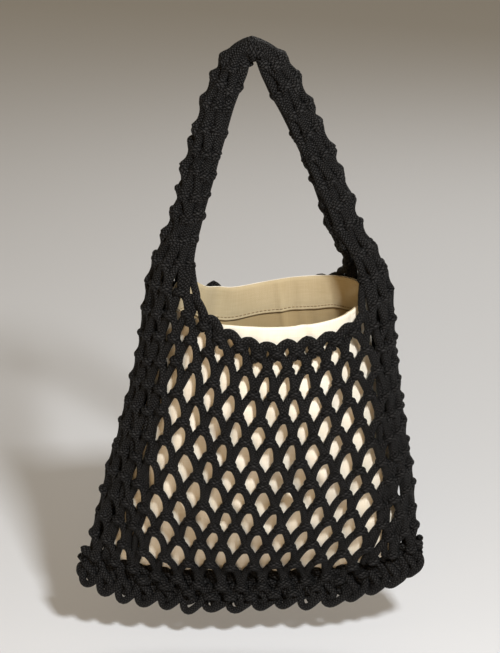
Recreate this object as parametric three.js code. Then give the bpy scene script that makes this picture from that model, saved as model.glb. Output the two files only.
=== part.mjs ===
// A hand-knotted net shoulder bag of thick black braided cord, with an open canvas pouch inside.
// Millimetres. +Z is up, +X is to the right of the picture and the front faces -Y.
// The origin is the inner side of the strap's top, where a hook or a shoulder carries the bag.
import * as THREE from "three";

// Cord, knots and cloth
const cordDiameter = 6.5;
const knotWidth = 10;
const knotThickness = 10.5;
const knotRelief = 2;
const canvasThickness = 1.5;
const clearance = 0.3;
const netGap = 0.8;

// Pouch
const mouthDrop = 204;
const mouthDip = 13;
const shoulderRise = 1.2;
const pouchHeight = 255;
const cornerRise = 14;
const pouchWidth = 262;
const pouchDepth = 100;
const mouthShift = 18;
const facingHeight = 30;
// How sharply the edge dips to the front's middle and the bottom rises to its corners, as powers
const mouthDipPower = 1.5;
const cornerRisePower = 3;

// Net
const netWidth = 308;
const frontRimDrop = 229;
const frontRimRise = 30;
const backRimDrop = 206;
const backRimRise = 8;
const netColumns = 8;
const netRows = 9;
// How far a rim strand's middle stands out of its chord, as a share of the loop's height
const rimArch = 0.25;
// How much of the free width between two strands a bowed strand takes up
const bowShare = 0.8;
const strandSpace = 1;
// The most of half a diamond's width that a strand's half width may fill where the net is bunched
const pressedShare = 0.36;
// How far a corner is drawn out to a point: where strands meet in a crotch, and on an outer corner
const crotchStretch = 3;
const cornerStretch = 1.2;
const tightCrotch = 2;
const smallestSine = 0.01;
// How sharply the rims and the hem rise towards the sides, as a power
const sideRisePower = 3;

// Hem
const hemFall = 18;
const hemDrop = mouthDrop + pouchHeight + hemFall;
const hemHeight = 21;
const hemThickness = 17;
const hemRise = 30;
const hemTilt = 4;
const hemRuffle = 5;
const hemRufflePhase = 0.6;
// The share of the hem's height that its loops take up, and how much lower and thinner its ends are
const hemLoopShare = 0.28;
const hemEndFall = 0.3;
const hemEndThin = 0.45;
const hemEndPower = 6;
const hemLoops = 16;

// Strap
const strapWidth = 29;
const strapThickness = 26;
const strapBaseWidth = 36;
const strapSwell = 0.08;
const strapKnotColumns = 4;
const strapKnotTwist = 1.3;
// The shares of a leg's length over which it turns level with the side and narrows from it
const strapLevelShare = 0.16;
const strapNarrowShare = 0.5;
const legDrop = 189;
const leftSpread = 69;
const rightSpread = 105;
const knotSpacing = 21;

// Each row is one level of the bag. down is the share of the pouch's height below its back edge.
// pouch is a share of pouchWidth, net of netWidth, depth of pouchDepth and shift of mouthShift.
// panel is the share of the half girth that an open net panel covers.
const LEVELS = [
  { down: 0.0, pouch: 0.65, net: 0.71, depth: 1.0, shift: 1.0, panel: 0.62 },
  { down: 0.17, pouch: 0.7, net: 0.738, depth: 1.05, shift: 0.94, panel: 0.66 },
  { down: 0.32, pouch: 0.762, net: 0.778, depth: 1.08, shift: 0.84, panel: 0.7 },
  { down: 0.47, pouch: 0.825, net: 0.828, depth: 1.03, shift: 0.72, panel: 0.73 },
  { down: 0.61, pouch: 0.891, net: 0.88, depth: 0.9, shift: 0.6, panel: 0.76 },
  { down: 0.76, pouch: 0.941, net: 0.923, depth: 0.68, shift: 0.45, panel: 0.79 },
  { down: 0.91, pouch: 0.984, net: 0.967, depth: 0.36, shift: 0.3, panel: 0.81 },
  { down: 1.0, pouch: 1.0, net: 1.0, depth: 0.1, shift: 0.2, panel: 0.82 },
];

// Folds of the canvas. turn is the angle round the pouch from the front's middle, in degrees.
// wide is the fold's half width in degrees, deep a share of pouchDepth, and from and to are levels.
const FOLDS = [
  { turn: -72, wide: 9, deep: 0.09, from: -0.3, to: 0.3 },
  { turn: 64, wide: 8, deep: 0.06, from: -0.3, to: 0.25 },
  { turn: -30, wide: 7, deep: 0.05, from: 0.3, to: 0.95 },
  { turn: 12, wide: 6, deep: 0.045, from: 0.35, to: 0.9 },
  { turn: 41, wide: 7, deep: 0.05, from: 0.2, to: 0.85 },
  { turn: 150, wide: 8, deep: 0.05, from: 0.3, to: 0.9 },
  { turn: 205, wide: 8, deep: 0.045, from: 0.25, to: 0.9 },
];

// The strap's centreline. drop is a share of legDrop below the top, out a share of a leg's spread.
const STRAP_LEG = [
  { drop: 0.06, out: 0.16 },
  { drop: 0.2, out: 0.345 },
  { drop: 0.4, out: 0.53 },
  { drop: 0.6, out: 0.69 },
  { drop: 0.8, out: 0.84 },
  { drop: 1.0, out: 1.0 },
];

// The hem's section. side is a share of its half thickness, down of its height.
const HEM_OUTLINE = [
  { side: -0.75, down: 0 },
  { side: -1, down: 0.35 },
  { side: -0.6, down: 1 },
  { side: 0.6, down: 1 },
  { side: 1, down: 0.35 },
  { side: 0.75, down: 0 },
];

// How finely the shapes are cut
const pouchSides = 44;
const pouchLevels = 9;
const sideLevels = 24;
const sidePoints = 10;
const strapSides = 12;
const hemStepsPerLoop = 3;
const girthSteps = 90;

const cordRadius = cordDiameter / 2;
const netOffset = netGap + knotThickness / 2;
const DEGREE = Math.PI / 180;

// A smooth curve through one column of a table, held level past its ends.
function readTable(rows, key, column, at) {
  const last = rows.length - 1;
  if (at <= rows[0][key]) return rows[0][column];
  if (at >= rows[last][key]) return rows[last][column];
  const k = rows.findIndex((row) => row[key] > at) - 1;
  const slope = (i) => {
    const a = Math.max(i - 1, 0);
    const b = Math.min(i + 1, last);
    return (rows[b][column] - rows[a][column]) / (rows[b][key] - rows[a][key]);
  };
  const span = rows[k + 1][key] - rows[k][key];
  const t = (at - rows[k][key]) / span;
  const rise = t * t * (3 - 2 * t);
  const start = t * (1 - t) * (1 - t) * span * slope(k);
  const end = t * t * (t - 1) * span * slope(k + 1);
  return rows[k][column] + (rows[k + 1][column] - rows[k][column]) * rise + start + end;
}

// The pouch's half width and half depth and the bag's half width at height z.
function levelAt(z) {
  const down = (-mouthDrop - z) / pouchHeight;
  const column = (name) => readTable(LEVELS, "down", name, down);
  return {
    down,
    halfWidth: (pouchWidth / 2) * column("pouch"),
    halfDepth: (pouchDepth / 2) * column("depth"),
    halfNet: (netWidth / 2) * column("net"),
    centre: mouthShift * column("shift"),
    panel: column("panel"),
  };
}

// A point on the oval round the pouch at height z. turn is 0 at the front and 90 degrees at the right.
function ovalPoint(level, turn, z, sideOffset, depthOffset) {
  const x = level.centre + (level.halfWidth + sideOffset) * Math.sin(turn);
  const y = -(level.halfDepth + depthOffset) * Math.cos(turn);
  return new THREE.Vector3(x, y, z);
}

// The oval's half girth, and the turn that lies a given length along it from the front's middle.
function girth(halfWidth, halfDepth, length) {
  const step = Math.PI / 2 / girthSteps;
  let sum = 0;
  for (let k = 0; k < girthSteps * 2; k++) {
    const turn = (k + 0.5) * step;
    const piece = step * Math.hypot(halfWidth * Math.cos(turn), halfDepth * Math.sin(turn));
    if (sum + piece >= length) return { turn: (k + (length - sum) / piece) * step, sum: length };
    sum += piece;
  }
  return { turn: Math.PI, sum };
}

// The half length of an open net panel at height z, along the net's middle surface.
function panelHalf(level) {
  const whole = girth(level.halfWidth + netOffset, level.halfDepth + netOffset, Infinity).sum;
  return (whole / 2) * level.panel;
}

// How far a fold presses the canvas inwards.
function foldDepth(turn, down) {
  let depth = 0;
  for (const fold of FOLDS) {
    const away = Math.atan2(Math.sin(turn - fold.turn * DEGREE), Math.cos(turn - fold.turn * DEGREE));
    const across = Math.exp(-((away / (fold.wide * DEGREE)) ** 2));
    const share = THREE.MathUtils.clamp((down - fold.from) / (fold.to - fold.from), 0, 1);
    depth += fold.deep * across * Math.sin(share * Math.PI);
  }
  return depth * pouchDepth;
}

// A closed body from shared points and triangles, with its faces turned outwards.
function closedBody(points, triangles) {
  const positions = points.flatMap((p) => [p.x, p.y, p.z]);
  const volume = triangles.reduce((sum, [a, b, c]) => {
    return sum + points[a].dot(points[b].clone().cross(points[c]));
  }, 0);
  const index = triangles.flatMap(([a, b, c]) => (volume < 0 ? [a, c, b] : [a, b, c]));
  const geometry = new THREE.BufferGeometry();
  geometry.setAttribute("position", new THREE.Float32BufferAttribute(positions, 3));
  geometry.setIndex(index);
  geometry.computeVertexNormals();
  return geometry;
}

// Joins rings of equal counts. A ring is closed by joining each point with its mirror in the ring's order.
function loft(rings, joinsEnds) {
  const count = rings[0].length;
  const points = rings.flat();
  const triangles = [];
  const last = joinsEnds ? rings.length : rings.length - 1;
  for (let r = 0; r < last; r++) {
    const low = r * count;
    const high = ((r + 1) % rings.length) * count;
    for (let k = 0; k < count; k++) {
      const next = (k + 1) % count;
      triangles.push([low + k, low + next, high + next], [low + k, high + next, high + k]);
    }
  }
  if (!joinsEnds) {
    const top = (rings.length - 1) * count;
    for (let k = 0; k < count / 2 - 1; k++) {
      const [a, b, c, d] = [k, k + 1, count - 2 - k, count - 1 - k];
      triangles.push([a, c, b], [a, d, c], [top + a, top + b, top + c], [top + a, top + c, top + d]);
    }
  }
  return closedBody(points, triangles);
}

// The height of the pouch's edge: lowest at the front's middle.
function mouthHeight(turn) {
  return -mouthDrop - mouthDip * ((1 + Math.cos(turn)) / 2) ** mouthDipPower;
}

// The height of the pouch's bottom, which rises to its corners.
function bottomHeight(turn) {
  return -mouthDrop - pouchHeight + cornerRise * Math.abs(Math.sin(turn)) ** cornerRisePower;
}

// A point of the canvas, inset from the pouch's outside.
function canvasPoint(turn, z, inset) {
  const level = levelAt(z);
  const pressed = inset + foldDepth(turn, level.down);
  return ovalPoint(level, turn, z, -inset, -Math.min(pressed, level.halfDepth / 2 + inset));
}

// One canvas panel: a wall and its half of the floor. Front and back meet at the side and bottom seams.
function pouchPanel(isFront) {
  const facingSide = isFront ? -1 : 1;
  const seam = clearance / 2;
  const middle = isFront ? 0 : Math.PI;
  const panelSides = pouchSides / 2;

  // One row of a panel's face. The bottom seam's row ends short of the corners.
  function rowOf(inset, share, isSeam) {
    const row = [];
    for (let p = 0; p <= panelSides; p++) {
      const turn = middle + (p / panelSides - 0.5) * Math.PI;
      const z = THREE.MathUtils.lerp(mouthHeight(turn), bottomHeight(turn) + inset, share);
      const point = canvasPoint(turn, z, isSeam ? inset + canvasThickness : inset);
      row.push(point.setY(facingSide * (isSeam ? seam : Math.max(Math.abs(point.y), seam))));
    }
    return row;
  }

  function ringAt(share, isSeam) {
    return [...rowOf(0, share, isSeam), ...rowOf(canvasThickness, share, isSeam).toReversed()];
  }

  const rings = [ringAt(1, true)];
  for (let k = pouchLevels; k >= 0; k--) rings.push(ringAt(k / pouchLevels, false));
  return loft(rings, false);
}

function facing() {
  const outside = canvasThickness + clearance;
  const inside = outside + canvasThickness;
  const rows = [1, 0.5, 0];
  function ringAt(inset, row) {
    const ring = [];
    for (let k = 0; k < pouchSides; k++) {
      const turn = (k / pouchSides) * Math.PI * 2;
      ring.push(canvasPoint(turn, mouthHeight(turn) - clearance - row * facingHeight, inset));
    }
    return ring;
  }
  const rings = rows.map((row) => ringAt(outside, row));
  rings.push(...rows.toReversed().map((row) => ringAt(inside, row)));
  return loft(rings, true);
}

// The height of the hem's upper edge, which rises to both ends and hangs a little lower on the left.
function hemTop(x) {
  const across = THREE.MathUtils.clamp((x - levelAt(-hemDrop).centre) / (netWidth / 2), -1, 1);
  return -hemDrop + hemRise * Math.abs(across) ** sideRisePower + hemTilt * across;
}

// A panel of diamond net, cut through. Columns count half diamonds across, rows half diamonds down.
function netPanel(isFront) {
  const facingSide = isFront ? 1 : -1;
  const rimDrop = isFront ? frontRimDrop : backRimDrop;
  const rimRise = isFront ? frontRimRise : backRimRise;
  const bottomMargin = knotWidth / 2 + clearance * 2;

  // A place in the flattened net: along is the length from the middle, halfPitch half a diamond's width.
  function place(column, row) {
    const across = column / netColumns - 1;
    const lowHalf = panelHalf(levelAt(-hemDrop));
    const rim = -rimDrop + rimRise * Math.abs(across) ** sideRisePower;
    const share = row === 0 ? 0 : (row - 0.5) / (netRows - 0.5);
    const z = THREE.MathUtils.lerp(rim, hemTop(across * lowHalf) + bottomMargin, share);
    const half = panelHalf(levelAt(z));
    return { along: across * half, z, halfPitch: half / netColumns };
  }

  const corners = new Map();
  function cornerOf(column, row) {
    const key = `${column},${row}`;
    if (!corners.has(key)) {
      corners.set(key, { ...place(column, row), isKnot: true, ridge: knotThickness / 2 });
    }
    return corners.get(key);
  }

  // The middle of the strand that runs down from a knot, bowed outwards as a loop over the next knot is.
  function strandOf(column, row, way) {
    const key = `${column},${row},${way}`;
    if (!corners.has(key)) {
      const upper = cornerOf(column, row);
      const lower = cornerOf(column + way, row + 1);
      const halfPitch = (upper.halfPitch + lower.halfPitch) / 2;
      const bow = Math.max(halfPitch / 2 - cordRadius - strandSpace, 0) * bowShare;
      const arch = row === 0 ? (upper.z - lower.z) * rimArch : 0;
      corners.set(key, {
        along: (upper.along + lower.along) / 2 + way * (bow + arch),
        z: (upper.z + lower.z) / 2 + bow / 2 + arch,
        halfPitch,
        isKnot: false,
        ridge: cordRadius,
      });
    }
    return corners.get(key);
  }

  const points = [];
  const triangles = [];
  function addPoint(at, depth) {
    const level = levelAt(at.z);
    const middle = girth(level.halfWidth + netOffset, level.halfDepth + netOffset, Math.abs(at.along));
    const turn = Math.sign(at.along) * middle.turn;
    const point = ovalPoint(level, turn, at.z, netOffset + depth, netOffset + depth);
    points.push(point.setY(point.y * facingSide));
    return points.length - 1;
  }

  // Fills the strands' halves that lie to the right of a loop of corners, down to a thin inner edge.
  function fillLoop(loop) {
    const edge = loop.map((corner, k) => {
      const before = loop[(k + loop.length - 1) % loop.length];
      const after = loop[(k + 1) % loop.length];
      const into = new THREE.Vector2(corner.along - before.along, corner.z - before.z).normalize();
      const out = new THREE.Vector2(after.along - corner.along, after.z - corner.z).normalize();
      const aside = new THREE.Vector2(into.y + out.y, -into.x - out.x).normalize();
      const sharp = 1 / Math.max(aside.x * into.y - aside.y * into.x, smallestSine);
      const isInside = into.cross(out) < 0;
      const stretch = Math.min(sharp, isInside ? crotchStretch : cornerStretch);
      const isTight = isInside && sharp > tightCrotch;
      const full = corner.isKnot && !isTight ? knotWidth / 2 : cordRadius;
      const half = Math.min(full, corner.halfPitch * pressedShare);
      const at = { along: corner.along + aside.x * half * stretch, z: corner.z + aside.y * half * stretch };
      return addPoint(at, 0);
    });
    for (const corner of loop) {
      corner.outer ??= addPoint(corner, corner.ridge);
      corner.inner ??= addPoint(corner, -corner.ridge);
    }
    loop.forEach((a, k) => {
      const next = (k + 1) % loop.length;
      const b = loop[next];
      triangles.push([a.outer, b.outer, edge[next]], [a.outer, edge[next], edge[k]]);
      triangles.push([a.inner, edge[next], b.inner], [a.inner, edge[k], edge[next]]);
    });
  }

  const follows = new Map();
  for (let row = 1; row < netRows; row++) {
    for (let column = 1; column < netColumns * 2; column++) {
      if ((column + row) % 2 === 0) continue;
      const loop = [
        cornerOf(column, row - 1),
        strandOf(column, row - 1, 1),
        cornerOf(column + 1, row),
        strandOf(column + 1, row, -1),
        cornerOf(column, row + 1),
        strandOf(column - 1, row, 1),
        cornerOf(column - 1, row),
        strandOf(column, row - 1, -1),
      ];
      fillLoop(loop);
      loop.forEach((corner, k) => {
        const next = loop[(k + 1) % loop.length];
        if (follows.get(next)?.delete(corner)) return;
        if (!follows.has(corner)) follows.set(corner, new Set());
        follows.get(corner).add(next);
      });
    }
  }

  // What no second diamond shares is the panel's border, walked the other way round.
  const start = cornerOf(2, 0);
  const border = [start];
  for (let at = [...follows.get(start)][0]; at !== start; at = [...follows.get(at)][0]) border.unshift(at);
  fillLoop(border);
  return closedBody(points, triangles);
}

// The bunched columns round one end of the pouch, which close into the strap above the mouth.
function netSide(way) {
  const legX = way * (way < 0 ? leftSpread : rightSpread);
  const topZ = -legDrop - clearance;
  const shoulderZ = -mouthDrop + shoulderRise;
  const thick = netGap + knotThickness;
  const low = levelAt(-hemDrop);

  // The turn of a point across the side, from just past the front panel to just short of the back one.
  function turnAcross(level, across) {
    const reach = panelHalf(level) + (knotWidth / 2) * cornerStretch + clearance;
    const edge = girth(level.halfWidth + netOffset, level.halfDepth + netOffset, reach).turn;
    return THREE.MathUtils.lerp(edge, Math.PI - edge, across);
  }

  const rings = [];
  for (let k = 0; k <= sideLevels; k++) {
    const outer = [];
    const inner = [];
    for (let p = 0; p < sidePoints; p++) {
      const across = p / (sidePoints - 1);
      const lowX = low.centre + way * low.halfNet * Math.sin(turnAcross(low, across));
      const z = THREE.MathUtils.lerp(hemTop(lowX) + clearance, shoulderZ, k / sideLevels);
      const level = levelAt(z);
      const turn = way * turnAcross(level, across);
      const relief = (k + p) % 2 === 0 ? 0 : -knotRelief;
      outer.push(ovalPoint(level, turn, z, level.halfNet - level.halfWidth + relief, thick + relief));
      inner.unshift(ovalPoint(level, turn, z, netGap, netGap));
    }
    rings.push([...outer, ...inner]);
  }
  const neck = [];
  for (let p = 0; p < sidePoints * 2; p++) {
    const turn = ((p + 0.5) / (sidePoints * 2)) * Math.PI * 2;
    const x = legX + way * (strapBaseWidth / 2) * Math.sin(turn);
    neck.push(new THREE.Vector3(x, (-strapThickness / 2) * Math.cos(turn), topZ));
  }
  rings.push(neck);
  return loft(rings, false);
}

function strapCurve() {
  const middle = strapThickness / 2;
  const leg = (spread) => STRAP_LEG.map((row) => {
    return new THREE.Vector3(spread * row.out, 0, THREE.MathUtils.lerp(middle, -legDrop, row.drop));
  });
  const top = new THREE.Vector3(0, 0, middle);
  return new THREE.CatmullRomCurve3([...leg(-leftSpread).toReversed(), top, ...leg(rightSpread)]);
}

// The strap: a bunched band of net, thicker at each row of knots.
function strap() {
  const curve = strapCurve();
  const rows = Math.round(curve.getLength() / knotSpacing);
  const stations = rows * 2;
  const rings = [];
  for (let k = 0; k <= stations; k++) {
    const share = k / stations;
    const centre = curve.getPointAt(share);
    const along = curve.getTangentAt(share);
    const nearEnd = Math.min(share, 1 - share) * 2;
    const level = THREE.MathUtils.smoothstep(nearEnd, 0, strapLevelShare);
    const up = new THREE.Vector3(0, 0, share < 0.5 ? 1 : -1);
    const across = up.lerp(along, level).normalize().cross(new THREE.Vector3(0, 1, 0)).normalize();
    const narrowed = THREE.MathUtils.smoothstep(nearEnd, 0, strapNarrowShare);
    const width = THREE.MathUtils.lerp(strapBaseWidth, strapWidth, narrowed);
    const hasKnots = k % 2 === 1;
    const ring = [];
    for (let s = 0; s < strapSides; s++) {
      const turn = ((s + 0.5) / strapSides) * Math.PI * 2;
      const ripple = Math.cos(turn * strapKnotColumns + k * strapKnotTwist);
      const swell = hasKnots ? 1 + strapSwell * ripple : 1 - strapSwell;
      const side = (width / 2) * swell * Math.cos(turn);
      const depth = (strapThickness / 2) * swell * Math.sin(turn);
      ring.push(centre.clone().addScaledVector(across, side).setY(depth));
    }
    rings.push(ring);
  }
  return loft(rings, false);
}

// The ruffled hem: a band that waves to and fro, with a hanging loop at each wave.
function netHem() {
  const centreX = levelAt(-hemDrop).centre;
  const steps = hemLoops * hemStepsPerLoop;
  const rings = [];
  for (let k = 0; k <= steps; k++) {
    const across = (k / steps) * 2 - 1;
    const x = centreX + (across * netWidth) / 2;
    const top = hemTop(x) - clearance;
    const loop = Math.abs(Math.sin((k / hemStepsPerLoop) * Math.PI));
    const y = hemRuffle * Math.sin((k / hemStepsPerLoop) * Math.PI * 2 + hemRufflePhase);
    const endShare = across ** hemEndPower;
    const fall = hemHeight * (1 - hemLoopShare * (1 - loop)) * (1 - hemEndFall * endShare);
    const half = (hemThickness / 2) * (1 - hemEndThin * endShare);
    rings.push(
      HEM_OUTLINE.map((row) => new THREE.Vector3(x, y * row.down + row.side * half, top - row.down * fall)),
    );
  }
  return loft(rings, false);
}

// Materials
function cordMaterial() {
  return new THREE.MeshStandardMaterial({ color: 0x161616, roughness: 0.8, metalness: 0 });
}

function canvasMaterial() {
  return new THREE.MeshStandardMaterial({ color: 0xe9dcc2, roughness: 0.9, metalness: 0 });
}

const bag = new THREE.Group();

function addPiece(name, geometry, material) {
  const piece = new THREE.Mesh(geometry, material);
  piece.name = name;
  bag.add(piece);
}

addPiece("net_front", netPanel(true), cordMaterial());
addPiece("net_back", netPanel(false), cordMaterial());
addPiece("net_side_left", netSide(-1), cordMaterial());
addPiece("net_side_right", netSide(1), cordMaterial());
addPiece("net_hem", netHem(), cordMaterial());
addPiece("strap", strap(), cordMaterial());
addPiece("pouch_front", pouchPanel(true), canvasMaterial());
addPiece("pouch_back", pouchPanel(false), canvasMaterial());
addPiece("facing", facing(), canvasMaterial());

export default bag;
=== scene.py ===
# A hand-knotted net shoulder bag of black braided cord, with an open canvas pouch inside.
# Shapes are worked out in millimetres in the part's own frame and scaled to metres as meshes are made.
import math

import bpy
import numpy as np
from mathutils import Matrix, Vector


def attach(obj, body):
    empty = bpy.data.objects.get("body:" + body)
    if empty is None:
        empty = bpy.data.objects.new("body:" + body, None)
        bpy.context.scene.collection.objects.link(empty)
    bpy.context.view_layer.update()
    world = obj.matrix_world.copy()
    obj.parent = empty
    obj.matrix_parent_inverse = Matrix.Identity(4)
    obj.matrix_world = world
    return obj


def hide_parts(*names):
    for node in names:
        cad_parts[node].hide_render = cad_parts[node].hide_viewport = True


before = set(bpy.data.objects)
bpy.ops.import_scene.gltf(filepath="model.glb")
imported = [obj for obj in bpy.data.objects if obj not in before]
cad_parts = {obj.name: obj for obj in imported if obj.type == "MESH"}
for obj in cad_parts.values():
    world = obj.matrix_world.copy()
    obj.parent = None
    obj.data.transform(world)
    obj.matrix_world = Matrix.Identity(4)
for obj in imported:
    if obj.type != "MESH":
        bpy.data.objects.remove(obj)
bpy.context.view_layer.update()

MM = 0.001
RNG = np.random.default_rng(7)

# Cord and cloth
CORD_RADIUS = 3.35
WRAP_RADIUS = 3.3
CORE_RADIUS = CORD_RADIUS - 0.2
RIM_RADIUS = 3.5
RIM_INNER_RADIUS = 2.9
STITCH_RADIUS = 0.42
CANVAS_THICK = 1.5
CLEARANCE = 0.3
# NET_OFFSET runs from the pouch out to the net's cord, NET_INSET from the net's outline in to it
NET_OFFSET = 6.05
NET_INSET = 5.25

# How many sides the cords' meshes have, and points along one strand
CORD_SIDES = 12
THIN_SIDES = 10
CORE_SIDES = 8
STITCH_SIDES = 6
LEG_POINTS = 12
RIM_POINTS = 10
RIM_INNER_POINTS = 8
WRAP_POINTS = 16
SELVAGE_POINTS = 14
CORE_POINTS_PER_ROW = 8
HOOK_POINTS = 30
CROSSING_POINTS = 14
HEM_LEG_POINTS = 8
HEM_WRAP_POINTS = 14
TWIST_POINTS = 240
STITCH_POINTS = 5
STRAP_LINE_POINTS = 600
GIRTH_POINTS = 2401

# Pouch
MOUTH_DROP = 204
MOUTH_DIP = 13
MOUTH_LIFT = 17
# Each wave's turn and half width in degrees, and its lift in millimetres
MOUTH_WAVES = [(205, 28, -7), (243, 20, 12)]
POUCH_HEIGHT = 255
BOTTOM_DROP = 463
CORNER_RISE = 14
POUCH_WIDTH = 262
POUCH_DEPTH = 100
MOUTH_SHIFT = 18
FACING_HEIGHT = 30
POUCH_COLUMNS = 360
POUCH_ROWS = 120
# How much of its depth the bottom loses where it is sewn, and the inner wall besides
SEAM_PINCH = 0.85
INNER_PINCH = 0.05
# The inner wall's texture is moved on by this, so that the painted shade can tell it from the outer wall's
INNER_TEXTURE = 600
# Where painted shade starts on the inner wall, and where the painted shadow under the facing's lower edge
# starts
INNER_SHADE_FROM = 700
FACING_SHADOW_FROM = 29.2
STITCH_COUNT = 150
STITCH_ROW = 0.9
STITCH_HALF = 0.32

# Net: half columns are counted round the bag from the front's middle, rows down from the rim
NET_WIDTH = 311
HALF_COLUMNS = 64
BACK_COLUMN = HALF_COLUMNS // 2
SIDE_COLUMN = HALF_COLUMNS // 4
EDGE_COLUMN = 10
FAR_EDGE_COLUMN = BACK_COLUMN - EDGE_COLUMN
LEG_COLUMNS = SIDE_COLUMN - EDGE_COLUMN
LAST_ROW = 12
SEAM_DROP = 472.5
HEM_RISE = 30
HEM_TILT = 4
HEM_DROP = 477
HEM_LOWER = 8
HEM_REACH = 1
TWIST = 9.5
COLUMN_PITCH = 10
ROW_PITCH = 21

# Knots: how far one wanders in half columns, rows and millimetres out, and the shape of its band
WANDER_COLUMNS = 0.085
WANDER_ROWS = 0.045
WANDER_OUT = 0.35
WANDER_TABLE_ROWS = 40
STRAP_LOOSENESS = 1.2
LEG_CROSSING = 1.3
STRAP_BULGE = 1.6
KNOT_OUT = 1.4
KNOT_DRAW = 2.0
WRAP_WIDE = 3.2
WRAP_WIDE_SPREAD = 0.3
WRAP_WIDE_LIMITS = (2.6, 3.9)
WRAP_PROUD = 2.5
WRAP_TILT = 0.28
WRAP_SAG = 0.5

# Strands under the knots, and along the strap's edges
STRAND_SWAY = 0.45
STRAND_DEPTH_SWAY = 0.5
SELVAGE_BOW = 0.25
SELVAGE_OUT = 0.6

# Strap
STRAP_ROWS = 11
LEG_DROP = 189
LEFT_SPREAD = 67
RIGHT_SPREAD = 105
STRAP_TOP = 13.5
STRAP_TURN = 0.86
STRAP_TWIST = math.radians(45)
STRAP_HALF_WIDE = 11.4
STRAP_WIDE_LOSS = 0.4
APEX_WIDE_LOSS = 5.2
STRAP_HALF_DEEP = 10.6
STRAP_DEEP_LOSS = 0.6
FOOT_DEEP_GAIN = 15
RIGHT_FOOT_SPREAD = 13
RIGHT_FOOT_LIFT = 4

# down, pouch, net, depth, shift and the share of the quarter girth that the front's ten half columns take
LEVELS = np.array([
    [0.00, 0.650, 0.710, 1.00, 1.00, 0.65],
    [0.17, 0.700, 0.738, 1.05, 0.94, 0.68],
    [0.32, 0.762, 0.778, 1.08, 0.84, 0.70],
    [0.47, 0.825, 0.828, 1.03, 0.72, 0.71],
    [0.61, 0.891, 0.880, 0.90, 0.60, 0.71],
    [0.76, 0.941, 0.923, 0.68, 0.45, 0.70],
    [0.91, 0.984, 0.967, 0.36, 0.30, 0.69],
    [1.00, 1.000, 1.000, 0.10, 0.20, 0.68],
])

# turn and half width in degrees, depth as a share of the pouch's, and the levels it runs between
FOLDS = [
    (-72, 9, 0.09, -0.3, 0.3),
    (64, 8, 0.06, -0.3, 0.25),
    (-149, 6, -0.045, -0.3, 0.3),
    (-138, 6, 0.035, -0.3, 0.3),
    (-30, 7, 0.05, 0.3, 0.95),
    (12, 6, 0.045, 0.35, 0.9),
    (41, 7, 0.05, 0.2, 0.85),
    (150, 8, 0.05, 0.3, 0.9),
    (205, 8, 0.045, 0.25, 0.9),
]

# drop below the strap's top and how far out, as shares
LEFT_SHOULDER = [(0.012, 0.09), (0.07, 0.18)]
RIGHT_SHOULDER = [(0.008, 0.12), (0.06, 0.205)]
STRAP_LEG = [(0.2, 0.35), (0.4, 0.53), (0.6, 0.69), (0.8, 0.84), (1.0, 1.0)]

# The rims' drop at half columns of the front, and at half columns from the back's middle
FRONT_RIM = np.array([
    [-10, 188], [-9, 198], [-7, 212], [-5, 220], [-3, 227], [-1, 229.5],
    [1, 228], [3, 228], [5, 225], [7, 218], [9, 211], [10, 205],
])
BACK_RIM = np.array([
    [-10, 192], [-9, 195], [-7, 202], [-4, 211], [0, 216],
    [3, 216], [5, 210], [7, 214], [9, 206], [10, 198],
])

# How far down the panel each row lies, with short rows under the rim
ROW_SHARES = np.array([0, 0.035, 0.1, 0.185, 0.275, 0.365, 0.455, 0.545, 0.637, 0.73, 0.822, 0.912, 1.0])

# One leg of a knot's arch: half columns across, rows down, and millimetres out
LEG = np.array([
    [0.00, 0.10, 0.6], [0.22, 0.11, 0.5], [0.42, 0.18, 0.2], [0.58, 0.30, -0.3], [0.71, 0.44, -0.6],
    [0.81, 0.59, -0.6], [0.88, 0.73, -0.4], [0.91, 0.86, 0.1], [0.90, 1.00, 0.5],
])
# The rim's scallops in the same way: the outer cord and the one inside it
RIM_LEG = np.array([
    [0.00, 0.00, 0.6], [0.32, 0.06, 0.8], [0.62, 0.25, 1.0],
    [0.86, 0.55, 0.9], [0.98, 0.88, 0.3], [1.00, 1.15, -0.6],
])
RIM_INNER = np.array([
    [0.00, 0.26, 0.0], [0.20, 0.32, 0.0], [0.38, 0.55, 0.1],
    [0.50, 0.85, 0.2], [0.60, 1.20, 0.0], [0.72, 1.45, -0.5],
])
# One hooked loop of the hem: millimetres across, down, and to the back from the middle of its layer
HOOK = np.array([
    [5.0, -8.0, 3.0], [9.6, -4.0, 0.5], [11.2, 1.5, -1.5], [8.6, 8.0, -2.5],
    [3.0, 13.0, -2.5], [-3.4, 16.8, -2.2], [-8.0, 15.4, -1.4], [-9.6, 9.6, 0.0],
    [-8.0, 3.4, 1.8], [-2.8, 1.6, 3.6], [2.4, 5.4, 4.5],
])
# The strand that crosses from the seam down into each loop
CROSSING = np.array([
    [-8.0, -8.0, -1.0], [-4.0, -2.0, -2.6], [0.4, 3.6, -3.4], [0.8, 8.6, -2.4], [-3.6, 11.6, 0.4],
])
HEM_LAYER_DEPTH = 5.2
BACK_LAYER_SHARE = 0.84
# Each layer's first loop in half columns from the left end, and its side: 1 is the front and -1 the back
HEM_LAYERS = [(1, 1), (0.4, -1)]
# Twisted pairs along the seam: millimetres down, half turns in a half column, and half width
HEM_TWISTS = [(-14.0, 0.8, 3.4), (-6.5, 0.9, 3.6), (1.0, 1.0, 3.6), (7.0, 1.15, 3.0)]

# Half columns of the strands under the side's knots, and of the strap's core
UNDER_COLUMNS = [10.8, 12.1, 13.4, 14.7, 16, 17.3, 18.6, 19.9, 21.2]
CORE_COLUMNS = [11, 13.4, 15, 17, 18.6, 21]
# The two strands next to the front stop short of the rim, where the net opens towards the mouth
NEARER = UNDER_COLUMNS[:2]
FURTHER = UNDER_COLUMNS[2:]
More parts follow.
